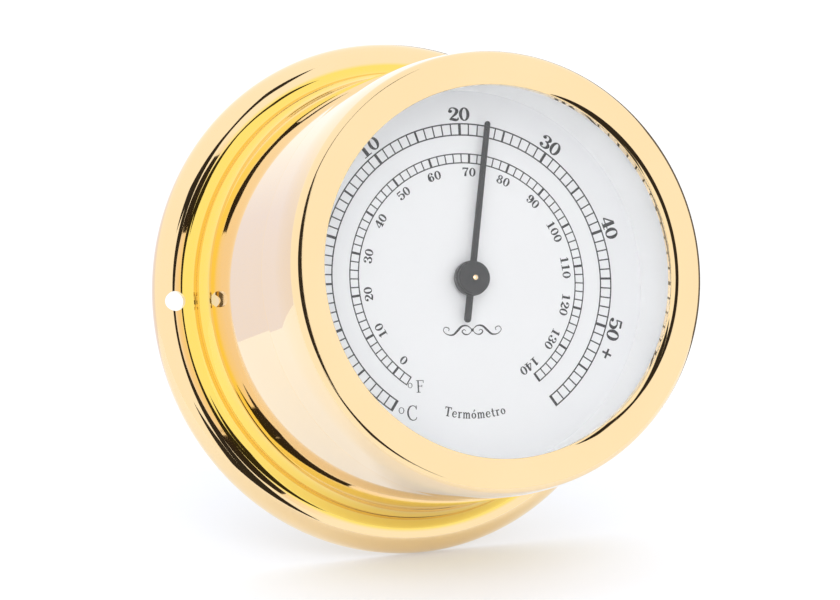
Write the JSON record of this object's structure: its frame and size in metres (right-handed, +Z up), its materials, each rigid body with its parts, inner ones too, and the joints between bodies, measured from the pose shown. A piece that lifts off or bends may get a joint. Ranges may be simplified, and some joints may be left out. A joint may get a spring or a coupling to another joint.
{
  "type": "marine dial thermometer",
  "caption": "Round brass ship's dial thermometer on a wall flange, with a bimetal coil turning a pointer over two temperature scales.",
  "frame": {"origin": "centre of the flange's back edge, on the wall", "axes": "+Z up (top of the dial), -Y out of the wall towards the viewer along the case's axis, +X right"},
  "size_m": [0.095, 0.0525, 0.095],
  "materials": {
    "polished_brass": "mirror polished and lacquered",
    "plain_brass": "fine turned",
    "glass": "clear flat",
    "black_rubber": "matt",
    "white_paint": "satin white",
    "dial_face": "matt white with charcoal print",
    "steel": "bright",
    "bimetal": "rolled strip",
    "pointer_black": "satin black"
  },
  "bodies": {
    "case": {"case_shell": "polished_brass", "bezel": "polished_brass", "glass": "glass", "glass_gasket": "black_rubber", "spacer_ring": "white_paint", "dial": "dial_face", "dial_seat_ring": "plain_brass", "dial_feet": "plain_brass", "dial_foot_nuts": "plain_brass", "front_plate": "plain_brass", "rear_plate": "plain_brass", "movement_pillars": "plain_brass", "pillar_screws": "steel", "front_bush": "plain_brass", "rear_bush": "plain_brass", "adjuster_clip": "steel", "back_ring": "plain_brass", "back_cover": "plain_brass", "back_cover_screws": "steel"},
    "adjuster": {"adjuster_arm": "steel", "coil_stud": "plain_brass", "bimetal_coil": "bimetal"},
    "pointer_shaft": {"arbor": "plain_brass", "coil_collet": "plain_brass", "thrust_collar": "plain_brass", "pointer_hub": "plain_brass", "pointer": "pointer_black", "pointer_cap": "pointer_black"}
  },
  "joints": [
    {"name": "adjuster_turn", "type": "hinge", "parent": "case", "child": "adjuster", "pos_m": [0, -0.02155, 0], "axis": [0, 1, 0], "range_deg": [-12, 12]},
    {"name": "pointer_turn", "type": "hinge", "parent": "adjuster", "child": "pointer_shaft", "pos_m": [0, -0.03, 0], "axis": [0, 1, 0], "range_deg": [-154.85, 135.65], "stiffness_Nm_per_rad": 0.0005, "deforming": ["bimetal_coil"]}
  ]
}
